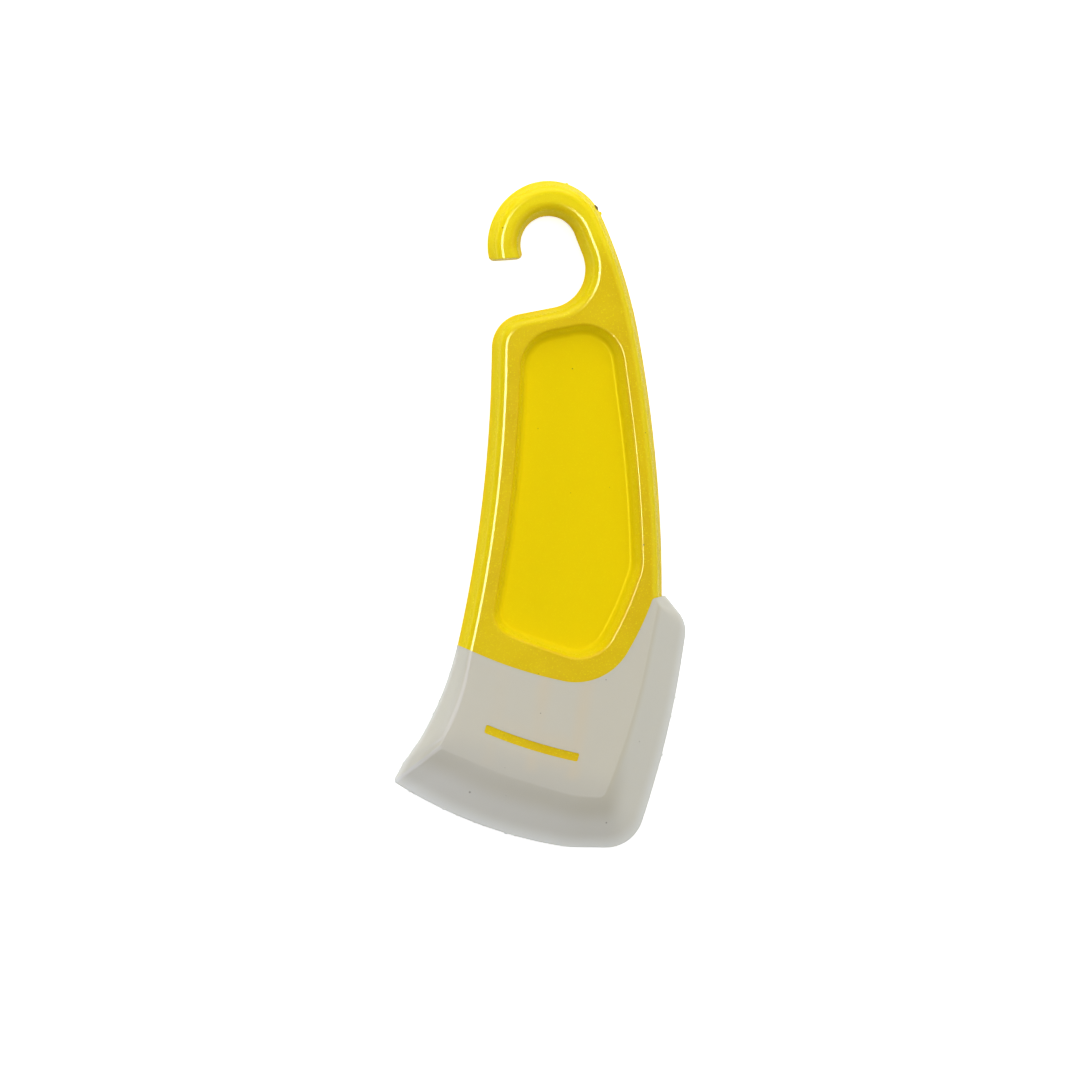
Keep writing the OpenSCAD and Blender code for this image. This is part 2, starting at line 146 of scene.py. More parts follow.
def handleRing(inward):
    normal = 90 + hook["tipSlope"]
    rho = max(hook["tipRadius"] - inward, 0.2)
    inner = hook["radius"] - hook["landDepth"] + inward
    outer = hook["outRadius"] - inward - rho
    line = dot(ray(normal), hook["centre"]) - hook["tipDrop"] + hook["tipShare"] * inward + rho
    outTurn = math.degrees(math.acos((line - dot(ray(normal), outCentre())) / outer))
    inTurn = math.degrees(math.acos((line - dot(ray(normal), hook["centre"])) / (inner + rho)))
    crownN = facets(hook["crownRadius"], outline["backHeading"] - hook["crownJoin"])
    tipN = 8
    out = normal + outTurn
    into = normal + inTurn
    return (
        arcPoints(hook["centre"] + (inner + rho) * ray(into), rho, normal + 180, into + 180, tipN, 0)
        + arcPoints(hook["centre"], inner, into, outline["neckHeading"] + 90, facets(hook["radius"], 180))
        + leftSide(inward)
        + rightSide(inward)[::-1]
        + arcPoints(crownCentre(), hook["crownRadius"] - inward, outline["backHeading"] + 90,
                    hook["crownJoin"] + 90, crownN, 0)
        + arcPoints(outCentre(), hook["outRadius"] - inward, hook["crownJoin"] + 90, out,
                    facets(hook["outRadius"], 75), 1, 1)
        + arcPoints(outCentre() + outer * ray(out), rho, out, normal + 180, tipN, 0)
    )


# Closed outlines of (corner, radius) pairs, taken anticlockwise
def bend(corners, i):
    a, b, c = corners[i - 1][0], corners[i][0], corners[(i + 1) % len(corners)][0]
    return (heading(b, c) - heading(a, b) + 540) % 360 - 180


def reach(corners, i):
    return corners[i][1] * math.tan(math.radians(abs(bend(corners, i)) / 2))


def share(corners, i, j):
    need = reach(corners, i) + reach(corners, j)
    return 1 if need == 0 else 0.98 * abs(corners[j][0] - corners[i][0]) / need


def counts(corners):
    return [0 if r == 0 else facets(r, bend(corners, i)) for i, (p, r) in enumerate(corners)]


def rounded(corners, turns):
    points = []
    size = len(corners)
    for i, (p, r) in enumerate(corners):
        if turns[i] == 0:
            points.append(p)
            continue
        turn = bend(corners, i)
        course = heading(corners[i - 1][0], p)
        r *= min(1, share(corners, (i - 1) % size, i), share(corners, i, (i + 1) % size))
        sign = math.copysign(1, turn)
        centre = p - r * math.tan(math.radians(abs(turn) / 2)) * ray(course) + sign * r * 1j * ray(course)
        for k in range(turns[i] + 1):
            points.append(centre - sign * r * 1j * ray(course + turn * k / turns[i]))
    return points


def mitre(corners, i, before, after):
    a, b, c = corners[i - 1][0], corners[i][0], corners[(i + 1) % len(corners)][0]
    first, second = heading(a, b), heading(b, c)
    n1, n2 = 1j * ray(first), 1j * ray(second)
    if abs(bend(corners, i)) < 30:
        return b + (before + after) * (n1 + n2) / (2 * (1 + dot(n1, n2)))
    return meet(b + before * n1, first, b + after * n2, second)


def inset(corners, inward):
    moved = []
    for i, (p, r) in enumerate(corners):
        sign = math.copysign(1, bend(corners, i))
        moved.append((mitre(corners, i, inward, inward), 0 if r == 0 else max(r - sign * inward, 0.2)))
    return moved


def bow(a, b, radius, room):
    half = abs(b - a) / 2
    rise = half * math.tan(math.asin((half - room) / radius))
    return (a + b) / 2 - 1j * ray(heading(a, b)) * rise


def lookup(points, y):
    for a, b in zip(points, points[1:]):
        if a.imag >= y >= b.imag:
            return a.real + (b.real - a.real) * (a.imag - y) / (a.imag - b.imag)
    raise ValueError("no point of the edge at this height")


# Meshes: every outline is moved from the source's millimetres to the frame's metres here
def place(point, height):
    moved = point + shift
    return (moved.real / 1000, moved.imag / 1000, (height + mid) / 1000)


def addObject(name, bm):
    mesh = bpy.data.meshes.new(name)
    bm.to_mesh(mesh)
    bm.free()
    piece = bpy.data.objects.new(name, mesh)
    bpy.context.scene.collection.objects.link(piece)
    return piece


def skin(name, rings):
    bm = bmesh.new()
    rows = [[bm.verts.new(place(p, z)) for p in ring] for ring, z in rings]
    size = len(rows[0])
    for low, high in zip(rows, rows[1:]):
        for i in range(size):
            j = (i + 1) % size
            bm.faces.new((low[i], low[j], high[j], high[i]))
    bm.faces.new(rows[0][::-1])
    bm.faces.new(rows[-1])
    return addObject(name, bm)


def slab(name, points, half):
    return skin(name, [(points, -half), (points, half)])


def plain(piece):
    depsgraph = bpy.context.evaluated_depsgraph_get()
    mesh = bpy.data.meshes.new_from_object(piece.evaluated_get(depsgraph))
    piece.modifiers.clear()
    piece.data = mesh


def carve(piece, operation, tools):
    for tool in tools:
        step = piece.modifiers.new("carve", "BOOLEAN")
        step.operation = operation
        step.solver = "EXACT"
        step.object = tool
    plain(piece)
    for tool in tools:
        bpy.data.objects.remove(tool)


# A cut can leave thin faces, and pairs of them back to back on the same corners
def dropSlivers(bm):
    small = [face for face in bm.faces if len(face.verts) > 4 and face.calc_area() < 4e-6]
    bmesh.ops.triangulate(bm, faces=small)
    bmesh.ops.dissolve_degenerate(bm, edges=bm.edges, dist=3e-6)
    alike = {}
    for face in bm.faces:
        alike.setdefault(frozenset(face.verts), []).append(face)
    doubled = [face for group in alike.values() if len(group) > 1 for face in group]
    bmesh.ops.delete(bm, geom=doubled, context="FACES")


def smooth(piece, sharpDegrees):
    bm = bmesh.new()
    bm.from_mesh(piece.data)
    bmesh.ops.remove_doubles(bm, verts=bm.verts, dist=2e-6)
    bmesh.ops.dissolve_degenerate(bm, edges=bm.edges, dist=1e-6)
    dropSlivers(bm)
    bm.to_mesh(piece.data)
    bm.free()
    piece.data.shade_smooth()
    piece.data.set_sharp_from_angle(angle=math.radians(sharpDegrees))
    step = piece.modifiers.new("normals", "WEIGHTED_NORMAL")
    step.keep_sharp = True
    step.weight = 50
    plain(piece)


# Seam between handle and blade, the border of everything that belongs to the handle
seam = {
    "left": 30.3,
    "low": 14.8 - 40.7j,
    "lowRadius": 14.0,
    "right": 19.6,
    "turn": 2.7,
    "headings": [-26, -12.3, 59.9, 69.6, 10],
    "leftRadius": 100,
    "rightRadius": 76,
    "endRadius": 1.2,
    "out": 12,
    "far": 120,
}


def crestWidth():
    slope = math.radians(body["flankSlope"])
    rise = mid - body["crestRadius"] - body["land"] / 2
    return (body["crestRadius"] + rise * math.sin(slope)) / math.cos(slope)


def leftX(y):
    return lookup(leftSide(0), y)


def rightX(y):
    return lookup(rightSide(0), y)


def seamCorners():
    turns = seam["headings"]
    start = complex(leftX(-seam["left"]), -seam["left"])
    end = complex(rightX(-seam["right"]) - seam["turn"], -seam["right"])
    far = seam["far"]
    return [
        (start - seam["out"] * ray(turns[0]), 0),
        (meet(start, turns[0], seam["low"], turns[1]), seam["leftRadius"]),
        (seam["low"], seam["lowRadius"]),
        (meet(seam["low"], turns[2], end, turns[3]), seam["rightRadius"]),
        (end, seam["endRadius"]),
        (end + seam["out"] * ray(turns[4]), 0),
        (complex(far, far), 0),
        (complex(-far, far), 0),
    ]


def seamBlock(drop=0.0):
    corners = seamCorners()
    points = [p + 1j * drop for p in rounded(corners, counts(corners))]
    return slab("seamBlock", points, body["thickness"])


# Thumb pocket on each face
pocket = {
    "rimLeft": 5.4,
    "rimRight": 4.7,
    "rimTop": 4.5,
    "rimEnd": 4.3,
    "rimTurn": 6.6,
    "wallSlope": 55.0,
    "brimRadius": 0.7,
    "coveRadius": 1.4,
    "leftRadius": 9.6,
    "lowRadius": 13.0,
    "rightRadius": 9.8,
    "bulgeRadius": 12.0,
    "sidesTop": 15.0,
    "sidesLeft": 13.0,
    "sidesRight": 10.5,
    "flare": 1.4,
}


def pocketCorners():
    shoulder = outline["neckHeading"] + outline["leftMoves"][1][1]
    cup = outline["leftMoves"][1]
    topAt = leftSide(pocket["rimTop"])[facets(cup[0], abs(cup[1])) + 1]
    top = topAt.imag - pocket["sidesTop"]
    left = [p for p in leftSide(pocket["rimLeft"]) if pocket["sidesLeft"] - seam["left"] < p.imag < top]
    right = [p for p in rightSide(pocket["rimRight"])
             if pocket["sidesRight"] - seam["right"] < p.imag < top][::-1]
    inner = [inset(seamCorners(), pocket["rimTurn" if i == 1 else "rimEnd"])[i] for i in (1, 2, 3)]
    turns = seam["headings"]
    return (
        [(meet(topAt, shoulder, left[0], heading(left[1], left[0])), pocket["leftRadius"])]
        + [(p, 0) for p in left]
        + [(meet(left[-1], heading(left[-2], left[-1]), inner[0][0], turns[0]), pocket["lowRadius"])]
        + inner
        + [(meet(inner[2][0], turns[3], right[0], heading(right[0], right[1])), pocket["bulgeRadius"])]
        + [(p, 0) for p in right]
        + [(meet(topAt, shoulder, right[-1], heading(right[-2], right[-1])), pocket["rightRadius"])]
    )


def pocketCut(side):
    slope = math.radians(pocket["wallSlope"])
    depth = (body["thickness"] - body["web"]) / 2
    brim, cove = pocket["brimRadius"], pocket["coveRadius"]
    end = brim * math.tan(slope / 2) + depth / math.tan(slope) + cove * math.tan(slope / 2)
    steps = 6
    wall = []
    for k in range(steps + 1):
        a = slope * k / steps
        wall.append((end - cove * math.sin(a), depth - cove * (1 - math.cos(a))))
    for k in range(steps, 0, -1):
        a = slope * k / steps
        wall.append((brim * math.sin(a), brim * (1 - math.cos(a))))
    first = slope / steps / 2
    wall.append((-pocket["flare"] * math.cos(first), -pocket["flare"] * math.sin(first)))
    corners = pocketCorners()
    turns = counts(corners)
    rings = [(rounded(inset(corners, w), turns), side * (mid - d)) for w, d in wall]
    return skin("pocketCut", rings if side > 0 else rings[::-1])


# Blade: outer corners, and where its thick part begins
blade = {
    "edge": 1.0,
    "edgeFlat": 0.6,
    "cornerOut": 14.9,
    "cornerY": -61.4,
    "heel": 6.2 - 76.8j,
    "heelRun": 15.6 - 0.4j,
    "wingOut": 6.0,
    "wingY": -25.3,
    "throatStep": 0.3 + 1j,
    "rootStep": 0.6 + 0.9j,
    "rollBend": (9.5, -104.2),
    "noseBend": (11.1, 57),
    "noseEnd": (5.2, 61.6),
    "toeBack": 1.9 + 4.1j,
    "toeBend": (6.1, 60.5),
    "toeEnd": (2.8, 59.7),
    "lip": 12.2,
    "sideLip": 9.8,
    "roll": 3.2,
    "rollMore": 0.7,
    "lipMore": 2.2,
    "heelMore": 1.4,
    "wingLess": 1.6,
    "less": 0.3,
    "sweep": 110.0,
    "side": 250.0,
    "heelRadius": 9.8,
    "wingRadius": 6.9,
    "lipCrown": 1.1,
    "rollCrown": 1.9,
    "noseCrown": 1.3,
    "creaseSoft": 0.15,
    "stages": 16,
}


def off(point, step):
    return point + step[0] * ray(step[1])


def bladeRows():
    b = blade
    throat = complex(leftX(-seam["left"]), -seam["left"]) - b["throatStep"]
    root = complex(rightX(-seam["right"]), -seam["right"]) + b["rootStep"]
    leftTop = complex(leftX(-seam["left"] / 2) - b["throatStep"].real, -seam["left"] / 2)
    rightTop = complex(rightX(-seam["right"] / 2), -seam["right"] / 2)
    heelEnd = b["heel"] + b["heelRun"]
    corner = complex(leftX(-seam["left"]) - b["cornerOut"], b["cornerY"])
    wing = complex(rightX(-seam["right"]) + b["wingOut"], b["wingY"])
    toe = corner + complex(b["lip"], b["lip"]) - b["toeBack"]
    roll, lip, side = b["roll"], b["lip"], b["sideLip"]
    sweep = bow(corner, b["heel"], b["sweep"], 1.2)
    flankBow = bow(heelEnd, wing, b["side"], 5)
    midCrown = (b["rollCrown"] + b["noseCrown"]) / 2
    return [
        (leftTop, 0, (roll, roll), 0, b["rollCrown"]),
        (throat, 0, (roll, roll), 0, b["rollCrown"]),
        (off(throat, b["rollBend"]), 78, (roll + b["rollMore"],) * 2, 60, b["rollCrown"]),
        (off(corner, b["noseBend"]), 45, off(toe, b["toeBend"]), 40, midCrown),
        (off(corner, b["noseEnd"]), 20, off(toe, b["toeEnd"]), 30, b["noseCrown"]),
        (corner, 0.8, toe, 0.8, b["lipCrown"]),
        (sweep, b["sweep"], (lip + b["lipMore"],) * 2, b["sweep"], b["lipCrown"]),
        (b["heel"], 24, (lip, lip), 24, b["lipCrown"]),
        (heelEnd, b["heelRadius"], (lip - b["less"], side + b["heelMore"]), 3.2, b["lipCrown"]),
        (flankBow, b["side"], (side, side), b["side"], b["lipCrown"]),
        (wing, b["wingRadius"], (side - b["wingLess"], roll), 0.5, b["lipCrown"]),
        (root, 0, (roll - b["less"],) * 2, 0, b["lipCrown"]),
        (rightTop, 0, (roll, roll), 0, b["lipCrown"]),
    ]


def bladeTop(rows, edge):
    top = []
    for i, row in enumerate(rows):
        inner = mitre(edge, i, *row[2]) if isinstance(row[2], tuple) else row[2]
        top.append((inner, row[3]))
    return top


def bladeHeight(s, crown):
    half = blade["edge"] / 2
    if s == 0:
        return blade["edgeFlat"] * half
    height = half + (mid - half) * (1 - (1 - s) ** crown)
    soft = blade["creaseSoft"]
    if s > 1 - soft:
        height -= (mid - half) * crown * soft / 4 * (1 - (s - 1 + soft) / soft) * (s - 1 + soft) / soft
    return height


# The crown passes evenly from each row to the next, t of the way round a row's bend
def crownAt(rows, i, t):
    here = rows[i][4]
    other = rows[i - 1][4] if t < 0.5 else rows[(i + 1) % len(rows)][4]
    return here + (other - here) * abs(t - 0.5)


def bladeForm():
    rows = bladeRows()
    edge = [(row[0], row[1]) for row in rows]
    turns = counts(edge)
    top = rounded(bladeTop(rows, edge), turns)
    low = rounded(edge, turns)
    crowns = [crownAt(rows, i, k / n if n else 0.5) for i, n in enumerate(turns) for k in range(n + 1)]
    count = blade["stages"]
    stages = [0, 0.015, 0.03] + [0.03 + 0.97 * k / count for k in range(1, count)] + [1]
    bm = bmesh.new()
    grid = []
    for side in (-1, 1):
        for s in (stages[::-1] if side < 0 else stages):
            ring = []
            for a, b, crown in zip(low, top, crowns):
                ring.append(bm.verts.new(place(a + s * (b - a), side * bladeHeight(s, crown))))
            grid.append(ring)
    size = len(low)
    for lower, upper in zip(grid, grid[1:]):
        for i in range(size):
            j = (i + 1) % size
            bm.faces.new((lower[i], lower[j], upper[j], upper[i]))
    bm.faces.new(grid[0][::-1])
    bm.faces.new(grid[-1])
    return addObject("blade", bm)


# Hidden core: tongue, ribs, windows and the crossbar that shows in the blade
core = {
    "cover": 0.9,
    "ribWidth": 1.8,
    "ribPitch": 9.9,
    "ribHeading": -100.0,
    "ribRoot": 0.5 - 39.1j,
    "ribPast": 6.3,
    "overlap": 2.0,
    "barCentre": -2.5 - 52.7j,
    "barHeading": -17.5,
    "barLength": 22.8,
    "barWidth": 2.0,
    "barSink": 0.15,
    "barRadius": 130,
    "barEndRadius": 0.5,
    "ledge": 0.5,
    "windowTop": 1.8,
    "windowLow": 1.0,
    "windowRadius": 1.0,
    "tongueInset": 4.5,
    "tongueRadius": 4.0,
    "tongueCorners": [0, 1, 5, 6, 8, 10, 12],
}


def ribLine(k):
    return core["ribRoot"] + (k - 1) * core["ribPitch"] * 1j * ray(core["ribHeading"])


def ribStop(k):
    return meet(ribLine(k), core["ribHeading"], core["barCentre"], core["barHeading"])


def rib(k):
    along = ray(core["ribHeading"])
    stop = ribStop(k) + core["ribPast"] * along
    start = ribLine(k) - core["ribPitch"] * along
    half = core["ribWidth"] / 2 * 1j * along
    return slab("rib", [start - half, stop - half, stop + half, start + half], mid - core["cover"])


def window(k):
    along = ray(core["ribHeading"])
    gap = core["ribPitch"] - core["ribWidth"] - 2 * core["ledge"]
    top = (ribLine(k) + ribLine(k + 1)) / 2 + core["windowTop"] * along
    low = (ribStop(k) + ribStop(k + 1)) / 2 - (core["barWidth"] + core["windowLow"]) * along
    half = gap / 2 * 1j * along
    corners = [(p, core["windowRadius"]) for p in (top - half, low - half, low + half, top + half)]
    return slab("window", rounded(corners, counts(corners)), body["thickness"])


def bar(half):
    end = core["barLength"] / 2 * ray(core["barHeading"])
    side = core["barWidth"] / 2 * 1j * ray(core["barHeading"])
    centre = core["barCentre"]
    peak = bow(centre - end, centre + end, core["barRadius"], 0)
    small, large = core["barEndRadius"], core["barRadius"]
    corners = [
        (centre - end - side, small), (peak - side, large), (centre + end - side, small),
        (centre + end + side, small), (peak + side, large), (centre - end + side, small),
    ]
    return slab("bar", rounded(corners, counts(corners)), half)


def tongue():
    rows = bladeRows()
    edge = [(row[0], row[1]) for row in rows]
    top = bladeTop(rows, edge)
    main = inset([top[i] for i in core["tongueCorners"]], core["tongueInset"])
    corners = [(p, core["tongueRadius"]) for p, r in main]
    form = slab("tongue", rounded(corners, counts(corners)), body["web"] / 2)
    carve(form, "DIFFERENCE", [window(0), window(1)])
    carve(form, "UNION", [rib(k) for k in range(3)])
    carve(form, "DIFFERENCE", [seamBlock(core["overlap"])])
    return form


# How far each point lies inside the handle's edge, in millimetres, for the plastic's shading
def markEdge(piece):
    ring = handleRing(0)
    points = []
    for a, b in zip(ring, ring[1:] + ring[:1]):
        inner = abs(a - hook["centre"]) < hook["radius"] + 2
        if a.imag > -seam["left"] - 4 and not inner:
            points += [a + (b - a) * k / 12 for k in range(12)]
    tree = kdtree.KDTree(len(points))
    for i, p in enumerate(points):
        tree.insert((p.real, p.imag, 0), i)
    tree.balance()
    data = piece.data.attributes.new("edge", "FLOAT", "POINT").data
    for vertex in piece.data.vertices:
        at = (vertex.co.x * 1000 - shift.real, vertex.co.y * 1000 - shift.imag, 0)
        onBar = at[1] < -seam["left"] - 12
        data[vertex.index].value = 9 if onBar else tree.find(at)[2]


def buildHandle():
    slope = math.radians(body["flankSlope"])
    width, crest = crestWidth(), body["crestRadius"]
    flank = [(0, body["land"] / 2)]
    steps = 13
    for k in range(steps + 1):
        a = slope + (math.pi / 2 - slope) * k / steps
        flank.append((width - crest * math.cos(a), mid - crest + crest * math.sin(a)))
    rings = [(handleRing(u), -z) for u, z in flank[::-1]] + [(handleRing(u), z) for u, z in flank]
    form = skin("handle", rings)
    carve(form, "INTERSECT", [seamBlock()])
    bore = arcPoints(hook["centre"], hook["radius"], 0, 360, 240)
    carve(form, "DIFFERENCE", [pocketCut(1), pocketCut(-1), slab("bore", bore, body["thickness"])])
    carve(form, "UNION", [tongue(), bar(mid - core["barSink"])])
    smooth(form, 28)
    markEdge(form)
    return form


def buildBlade():
    form = bladeForm()
    carve(form, "DIFFERENCE", [seamBlock()])
    carve(form, "DIFFERENCE", [tongue(), bar(body["thickness"])])
    smooth(form, 24)
    return form


# Shader helpers
def nodeOf(tree, kind, place=(0, 0), **values):
    node = tree.nodes.new(kind)
    node.location = place
    for name, value in values.items():
        setattr(node, name, value)
    return node


def link(tree, source, target):
    tree.links.new(source, target)


def mathNode(tree, operation, a, b=None, clamp=False):
    node = nodeOf(tree, "ShaderNodeMath", operation=operation, use_clamp=clamp)
    for socket, value in zip(node.inputs, (a, b)):
        if value is None:
            continue
        if isinstance(value, (int, float)):
            socket.default_value = value
        else:
            link(tree, value, socket)
    return node.outputs[0]


def addGroup(name, inputs, outputs):
    group = bpy.data.node_groups.new(name, "ShaderNodeTree")
    for label, kind, value in inputs:
        socket = group.interface.new_socket(label, in_out="INPUT", socket_type=kind)
        socket.default_value = value
    for label, kind in outputs:
        group.interface.new_socket(label, in_out="OUTPUT", socket_type=kind)
    start = nodeOf(group, "NodeGroupInput", (-900, 0))
    end = nodeOf(group, "NodeGroupOutput", (900, 0))
    return group, start, end


def noise(tree, vector, scale, detail=4.0, rough=0.55):
    node = nodeOf(tree, "ShaderNodeTexNoise")
    node.inputs["Detail"].default_value = detail
    node.inputs["Roughness"].default_value = rough
    link(tree, vector, node.inputs["Vector"])
    if isinstance(scale, (int, float)):
        node.inputs["Scale"].default_value = scale
    else:
        link(tree, scale, node.inputs["Scale"])
    return node.outputs["Fac"]


def spread(tree, value, low, high, toLow, toHigh, smoothStep=True):
    node = nodeOf(tree, "ShaderNodeMapRange")
    node.interpolation_type = "SMOOTHSTEP" if smoothStep else "LINEAR"
    link(tree, value, node.inputs["Value"])
    for label, number in zip(("From Min", "From Max", "To Min", "To Max"), (low, high, toLow, toHigh)):
        node.inputs[label].default_value = number
    return node.outputs["Result"]


def mixColour(tree, factor, a, b):
    node = nodeOf(tree, "ShaderNodeMix", data_type="RGBA")
    if isinstance(factor, (int, float)):
        node.inputs["Factor"].default_value = factor
    else:
        link(tree, factor, node.inputs["Factor"])
    for socket, value in zip((node.inputs[6], node.inputs[7]), (a, b)):
        if isinstance(value, tuple):
            socket.default_value = value
        else:
            link(tree, value, socket)
    return node.outputs[2]


def linear(red, green, blue):
    def one(value):
        value /= 255
        return value / 12.92 if value <= 0.04045 else ((value + 0.055) / 1.055) ** 2.4
    return (one(red), one(green), one(blue), 1.0)


# Fine moulded skin: grain, slow waviness and a few handling marks, as roughness and height
def skinGroup():
    group, start, end = addGroup(
        "mouldedSkin",
        [(label, "NodeSocketFloat", 1.0) for label in ("Grain", "Wave", "Marks")],
        [("Height", "NodeSocketFloat"), ("Gloss", "NodeSocketFloat"), ("Mark", "NodeSocketFloat")],
    )
    where = nodeOf(group, "ShaderNodeTexCoord").outputs["Object"]
    grain = noise(group, where, 5200.0, 3.0, 0.6)
    wave = noise(group, where, 62.0, 2.0, 0.45)
    cells = nodeOf(group, "ShaderNodeTexVoronoi", voronoi_dimensions="2D")
    cells.inputs["Scale"].default_value = 125.0
    link(group, where, cells.inputs["Vector"])
    pick = nodeOf(group, "ShaderNodeSeparateColor")
    link(group, cells.outputs["Color"], pick.inputs[0])
    size = mathNode(group, "ADD", mathNode(group, "MULTIPLY", pick.outputs[1], 2.0), 0.6)
    away = mathNode(group, "MULTIPLY", cells.outputs["Distance"], size)
    marks = spread(group, away, 0.012, 0.03, 1.0, 0.0)
    marks = mathNode(group, "MULTIPLY", marks, mathNode(group, "GREATER_THAN", pick.outputs[0], 0.8))
    marks = mathNode(group, "MULTIPLY", marks, start.outputs["Marks"])
    height = mathNode(group, "MULTIPLY", grain, start.outputs["Grain"])
    slow = mathNode(group, "MULTIPLY", wave, start.outputs["Wave"])
    total = mathNode(group, "ADD", height, slow)
    total = mathNode(group, "SUBTRACT", total, mathNode(group, "MULTIPLY", marks, 0.4))
    gloss = mathNode(group, "MULTIPLY", mathNode(group, "ADD", wave, grain), 0.5)
    link(group, total, end.inputs["Height"])
    link(group, gloss, end.inputs["Gloss"])
    link(group, marks, end.inputs["Mark"])
    return group


def bump(tree, height, strength, distance):
    node = nodeOf(tree, "ShaderNodeBump")
    node.inputs["Strength"].default_value = strength
    node.inputs["Distance"].default_value = distance
    link(tree, height, node.inputs["Height"])
    return node.outputs["Normal"]


def newMaterial(name):
    material = bpy.data.materials.new(name)
    material.use_nodes = True
    tree = material.node_tree
    return material, tree, tree.nodes["Principled BSDF"]


def useGroup(tree, group, **values):
    node = nodeOf(tree, "ShaderNodeGroup", node_tree=group)
    for label, value in values.items():
        node.inputs[label].default_value = value
    return node


handleLook = {
    "colour": linear(226, 195, 3),
    "deep": linear(217, 182, 3),
    "floor": linear(231, 202, 1),
    # painted light: the outer flank is coloured lighter, for the light that the white floor throws onto
    # it
    "flank": linear(227, 204, 6),
    # painted light: the pocket's walls are coloured lighter, to offset the shade they stand in
    "wall": linear(228, 203, 3),
    # painted light: the top of the hook, facing the top lamp, is coloured lighter
    "hook": linear(238, 216, 6),
    "hookLitFrom": (0.056, 0.066),
    # painted glints: pale specks standing in for the glossy rim's sparkling highlights
    "paintedGlint": linear(250, 236, 30),
    "speck": linear(110, 88, 10),
    "flankWidth": 2.6,
    "lineSpacing": 0.6,
    "shine": (1.0, 0.95, 0.36, 1.0),
    "floorShine": (0.8, 0.65, 0.02, 1.0),
    "rimRough": 0.12,
    "floorRough": 0.3,
    "subsurface": 0.12,
}


def handleMaterial(group):
    material, tree, surface = newMaterial("handlePlastic")
    where = nodeOf(tree, "ShaderNodeTexCoord").outputs["Object"]
    split = nodeOf(tree, "ShaderNodeSeparateXYZ")
    link(tree, where, split.inputs[0])
    rise = mathNode(tree, "ABSOLUTE", mathNode(tree, "SUBTRACT", split.outputs["Z"], mid / 1000))
    onFloor = spread(tree, rise, 0.0009, 0.0014, 1.0, 0.0)
    skinNode = useGroup(tree, group, Grain=0.9, Wave=1.0, Marks=1.0)
    patches = noise(tree, where, 60.0, 3.0, 0.6)
    tone = spread(tree, patches, 0.35, 0.7, 0.0, 0.8)
    edge = nodeOf(tree, "ShaderNodeAttribute", attribute_name="edge").outputs["Fac"]
    width = handleLook["flankWidth"]
    onFlank = spread(tree, edge, width * 0.7, width * 1.35, 1.0, 0.0)
    base = mixColour(tree, tone, handleLook["colour"], handleLook["deep"])
    # painted light: below the crest the walls get a lighter colour against their shade
    onWall = spread(tree, rise, 0.0026, 0.0033, 1.0, 0.0)
    base = mixColour(tree, onWall, base, handleLook["wall"])
    # painted light: a lighter colour on the outer flank, for the floor's light on it; the same mask also
    # carries the real moulding lines
    base = mixColour(tree, onFlank, base, handleLook["flank"])
    base = mixColour(tree, onFloor, base, handleLook["floor"])
    # painted light: round the hook and above a given height, a lighter colour, as if the top lamp lit it
    # more
    fromCentre = nodeOf(tree, "ShaderNodeVectorMath", operation="DISTANCE")
    link(tree, where, fromCentre.inputs[0])
    fromCentre.inputs[1].default_value = place(hook["centre"], 0)
    radius = hook["radius"] / 1000
    onHook = spread(tree, fromCentre.outputs["Value"], radius + 0.0015, radius + 0.0045, 0.0, 1.0)
    high = spread(tree, split.outputs["Y"], *handleLook["hookLitFrom"], 0.0, 1.0)
    base = mixColour(tree, mathNode(tree, "MULTIPLY", onHook, high), base, handleLook["hook"])
    # painted glints: pale specks, strongest on the raised rim, stand in for sparkling highlights
    paintedGlint = spread(tree, noise(tree, where, 2600.0, 2.0, 0.6), 0.58, 0.68, 0.0, 0.5)
    paintedGlint = mathNode(tree, "MULTIPLY", paintedGlint, spread(tree, rise, 0.0009, 0.0026, 0.35, 1.0))
    base = mixColour(tree, paintedGlint, base, handleLook["paintedGlint"])
    specks = mathNode(tree, "MULTIPLY", skinNode.outputs["Mark"], 0.7)
    base = mixColour(tree, specks, base, handleLook["speck"])
    lines = mathNode(tree, "SINE", mathNode(tree, "MULTIPLY", edge, math.tau / handleLook["lineSpacing"]))
    lines = mathNode(tree, "MULTIPLY", lines, mathNode(tree, "MULTIPLY", onFlank, tone))
    height = mathNode(tree, "ADD", skinNode.outputs["Height"], mathNode(tree, "MULTIPLY", lines, 0.14))
    link(tree, base, surface.inputs["Base Color"])
    rim, floor = handleLook["rimRough"], handleLook["floorRough"]
    inPocket = spread(tree, rise, 0.0014, 0.0027, 1.0, 0.0)
    rough = mathNode(tree, "MULTIPLY", inPocket, floor - rim)
    rough = mathNode(tree, "ADD", rough, rim)
    dull = spread(tree, noise(tree, where, 2400.0, 2.0, 0.6), 0.42, 0.6, 0.0, 0.08)
    rough = mathNode(tree, "ADD", rough, dull)
    rough = mathNode(tree, "ADD", rough, mathNode(tree, "MULTIPLY", skinNode.outputs["Gloss"], 0.08))
    link(tree, rough, surface.inputs["Roughness"])
    link(tree, bump(tree, height, 0.35, 0.00006), surface.inputs["Normal"])
    surface.inputs["IOR"].default_value = 1.49
    surface.inputs["Specular IOR Level"].default_value = 0.45
    surface.inputs["Specular Tint"].default_value = handleLook["shine"]
    tint = mixColour(tree, inPocket, handleLook["shine"], handleLook["floorShine"])
    link(tree, tint, surface.inputs["Specular Tint"])
    surface.inputs["Subsurface Weight"].default_value = handleLook["subsurface"]
    surface.inputs["Subsurface Radius"].default_value = (1.0, 0.6, 0.05)
    surface.inputs["Subsurface Scale"].default_value = 0.0012
    return material


